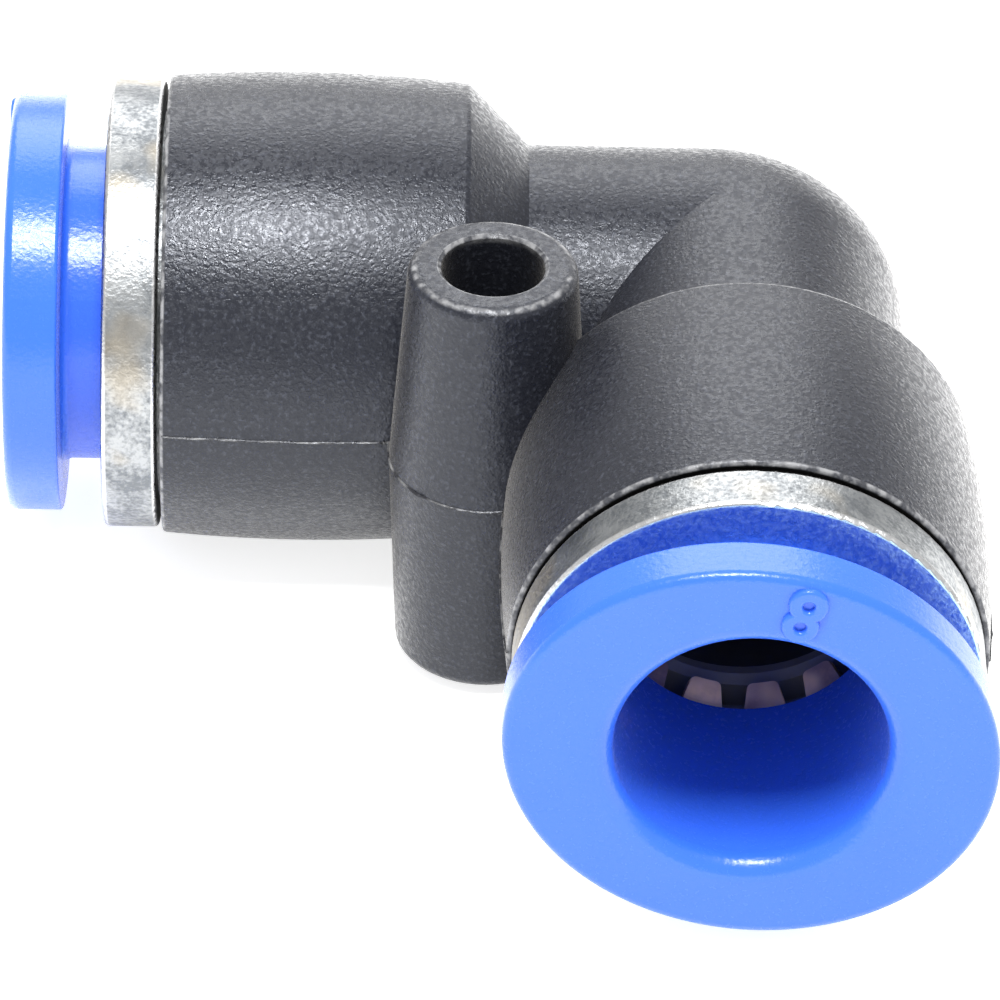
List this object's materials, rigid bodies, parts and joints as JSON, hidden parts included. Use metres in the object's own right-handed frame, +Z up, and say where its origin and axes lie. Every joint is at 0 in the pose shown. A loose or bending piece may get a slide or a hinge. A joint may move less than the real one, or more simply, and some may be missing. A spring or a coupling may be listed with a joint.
{
  "type": "push to connect fitting",
  "caption": "Union elbow that grips and seals a push-in tube at each of its right-angled ports, with sliding release collars and a through hole for fixing.",
  "frame": {"origin": "middle of the mounting hole, half way up the boss", "axes": "+Z up along the mounting hole; -X out of the left tube port; -Y out of the front tube port"},
  "size_m": [0.0306, 0.0306, 0.0148],
  "materials": {
    "body_plastic": "fine spark-eroded moulding texture",
    "plated_metal": "nickel plated, satin",
    "blue_plastic": "smooth moulded",
    "spring_metal": "bright stamped sheet with a coppery cast",
    "inner_plastic": "smooth moulded",
    "seal_rubber": "matt"
  },
  "bodies": {
    "fitting": {"elbow_body": "body_plastic", "left_guide_ring": "plated_metal", "left_back_ring": "inner_plastic", "left_tube_seal": "seal_rubber", "front_guide_ring": "plated_metal", "front_back_ring": "inner_plastic", "front_tube_seal": "seal_rubber"},
    "left_grip": {"left_lock_claw": "spring_metal"},
    "left_collar": {"left_release_collar": "blue_plastic"},
    "front_grip": {"front_lock_claw": "spring_metal"},
    "front_collar": {"front_release_collar": "blue_plastic"}
  },
  "joints": [
    {"name": "left_swivel", "type": "hinge", "parent": "fitting", "child": "left_grip", "pos_m": [0.00785, 0.00785, 0], "axis": [-1, 0, 0], "continuous": true},
    {"name": "left_release", "type": "slide", "parent": "left_grip", "child": "left_collar", "axis": [1, 0, 0], "range_m": [0, 0.0012], "stiffness_N_per_m": 2500, "springref_m": -0.0002, "deforming": ["left_lock_claw"]},
    {"name": "front_swivel", "type": "hinge", "parent": "fitting", "child": "front_grip", "pos_m": [0.00785, 0.00785, 0], "axis": [0, -1, 0], "continuous": true},
    {"name": "front_release", "type": "slide", "parent": "front_grip", "child": "front_collar", "axis": [0, 1, 0], "range_m": [0, 0.0012], "stiffness_N_per_m": 2500, "springref_m": -0.0002, "deforming": ["front_lock_claw"]}
  ]
}
